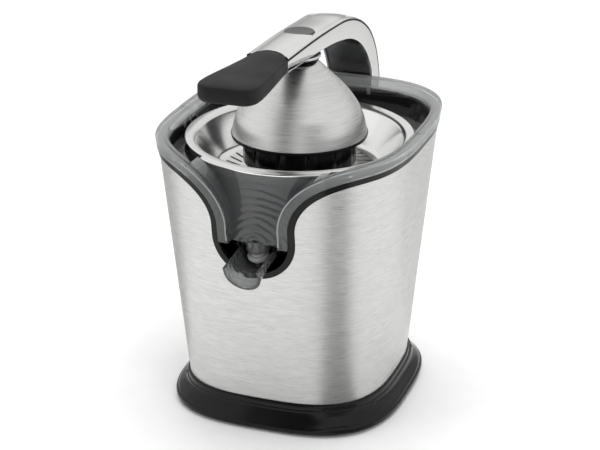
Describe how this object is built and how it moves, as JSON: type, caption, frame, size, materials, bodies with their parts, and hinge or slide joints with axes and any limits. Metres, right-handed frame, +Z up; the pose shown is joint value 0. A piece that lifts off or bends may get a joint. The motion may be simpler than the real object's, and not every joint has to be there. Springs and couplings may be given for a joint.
{
  "type": "citrus press juicer",
  "caption": "Countertop electric citrus press: lever arm with a dome over a reamer cone, strainer, juice collector, drip-stop spout and a tapered metal body.",
  "frame": {"origin": "middle of the width and depth, on the standing surface", "axes": "+Z up, the grip and the spout point towards -Y, +X is the side to the right when looking along +Y"},
  "size_m": [0.1898, 0.2887, 0.2811],
  "materials": {
    "gloss_black": "gloss",
    "brushed_steel": "brushed",
    "smoke_plastic": "clear smoke-tinted plastic",
    "polished_steel": "mirror",
    "chrome": "polished",
    "soft_black": "soft touch",
    "silicone": "matte",
    "rubber": "matte",
    "nylon": "natural nylon",
    "zinc": "zinc plated",
    "brass": "machined",
    "spring_steel": "drawn wire"
  },
  "bodies": {
    "base": {"base_skirt": "gloss_black", "base_plate": "gloss_black", "foot_front_left": "rubber", "foot_front_right": "rubber", "foot_rear_left": "rubber", "foot_rear_right": "rubber", "base_screw_front_left": "zinc", "base_screw_front_right": "zinc", "base_screw_rear_left": "zinc", "base_screw_rear_right": "zinc", "housing_shell": "brushed_steel", "edge_trim": "gloss_black", "motor_deck": "gloss_black", "juice_collector": "smoke_plastic", "strainer": "polished_steel", "spout_pin": "zinc", "shaft_bush": "brass", "shaft_seal": "rubber", "idler_axle": "zinc", "motor_can": "zinc", "motor_end_cap": "gloss_black", "gear_plate": "gloss_black", "gear_plate_screw_1": "zinc", "gear_plate_screw_2": "zinc", "gear_plate_screw_3": "zinc", "gear_plate_screw_4": "zinc", "start_switch": "gloss_black", "return_spring": "spring_steel", "cord_gland": "rubber", "hinge_bracket": "soft_black", "lever_pin": "zinc", "lever_cap_left": "chrome", "lever_cap_right": "chrome"},
    "lever": {"arm_frame": "chrome", "arm_seam": "soft_black", "arm_top_cover": "chrome", "arm_inner_cover": "gloss_black", "grip": "soft_black", "lever_bush_left": "nylon", "lever_bush_right": "nylon", "dome_pin": "zinc"},
    "dome": {"dome_shell": "brushed_steel", "dome_liner": "gloss_black", "dome_neck": "brushed_steel", "dome_clip": "soft_black"},
    "button": {"release_button": "soft_black"},
    "carrier": {"press_carrier": "nylon", "switch_actuator": "nylon"},
    "reamer": {"reamer_cone": "gloss_black", "drive_shaft": "zinc"},
    "output_wheel": {"output_gear": "nylon"},
    "idler": {"idler_gear": "nylon"},
    "motor": {"motor_rotor": "zinc", "motor_pinion": "brass"},
    "spout": {"spout": "smoke_plastic", "drip_seal": "silicone"}
  },
  "joints": [
    {"name": "lever_lift", "type": "hinge", "parent": "base", "child": "lever", "pos_m": [0, 0.13115, 0.186], "axis": [-1, 0, 0], "range_deg": [0, 80]},
    {"name": "dome_tilt", "type": "hinge", "parent": "lever", "child": "dome", "pos_m": [0, 0.00265, 0.268], "axis": [-1, 0, 0], "range_deg": [-3, 3]},
    {"name": "button_press", "type": "slide", "parent": "lever", "child": "button", "axis": [0, 0, -1], "range_m": [0, 0.0024], "stiffness_N_per_m": 400, "springref_m": -0.003},
    {"name": "cone_press", "type": "slide", "parent": "base", "child": "carrier", "axis": [0, 0, -1], "range_m": [0, 0.003], "stiffness_N_per_m": 1500, "springref_m": -0.005, "deforming": ["return_spring"]},
    {"name": "cone_spin", "type": "hinge", "parent": "carrier", "child": "reamer", "pos_m": [0, 0.00265, 0.2], "axis": [0, 0, 1], "continuous": true},
    {"name": "output_wheel_spin", "type": "hinge", "parent": "base", "child": "output_wheel", "pos_m": [0, 0.00265, 0.108], "axis": [0, 0, 1], "continuous": true},
    {"name": "idler_spin", "type": "hinge", "parent": "base", "child": "idler", "pos_m": [0, 0.03415, 0.1], "axis": [0, 0, 1], "continuous": true},
    {"name": "motor_spin", "type": "hinge", "parent": "base", "child": "motor", "pos_m": [0.024, 0.03415, 0.1], "axis": [0, 0, 1], "continuous": true},
    {"name": "spout_tip", "type": "hinge", "parent": "base", "child": "spout", "pos_m": [0, -0.06735, 0.14], "axis": [-1, 0, 0], "range_deg": [0, 12]}
  ],
  "couplings": [
    {"joint": "output_wheel_spin", "follows": "cone_spin", "ratio": 1},
    {"joint": "idler_spin", "follows": "cone_spin", "ratio": -3.2},
    {"joint": "motor_spin", "follows": "cone_spin", "ratio": 9.6}
  ]
}
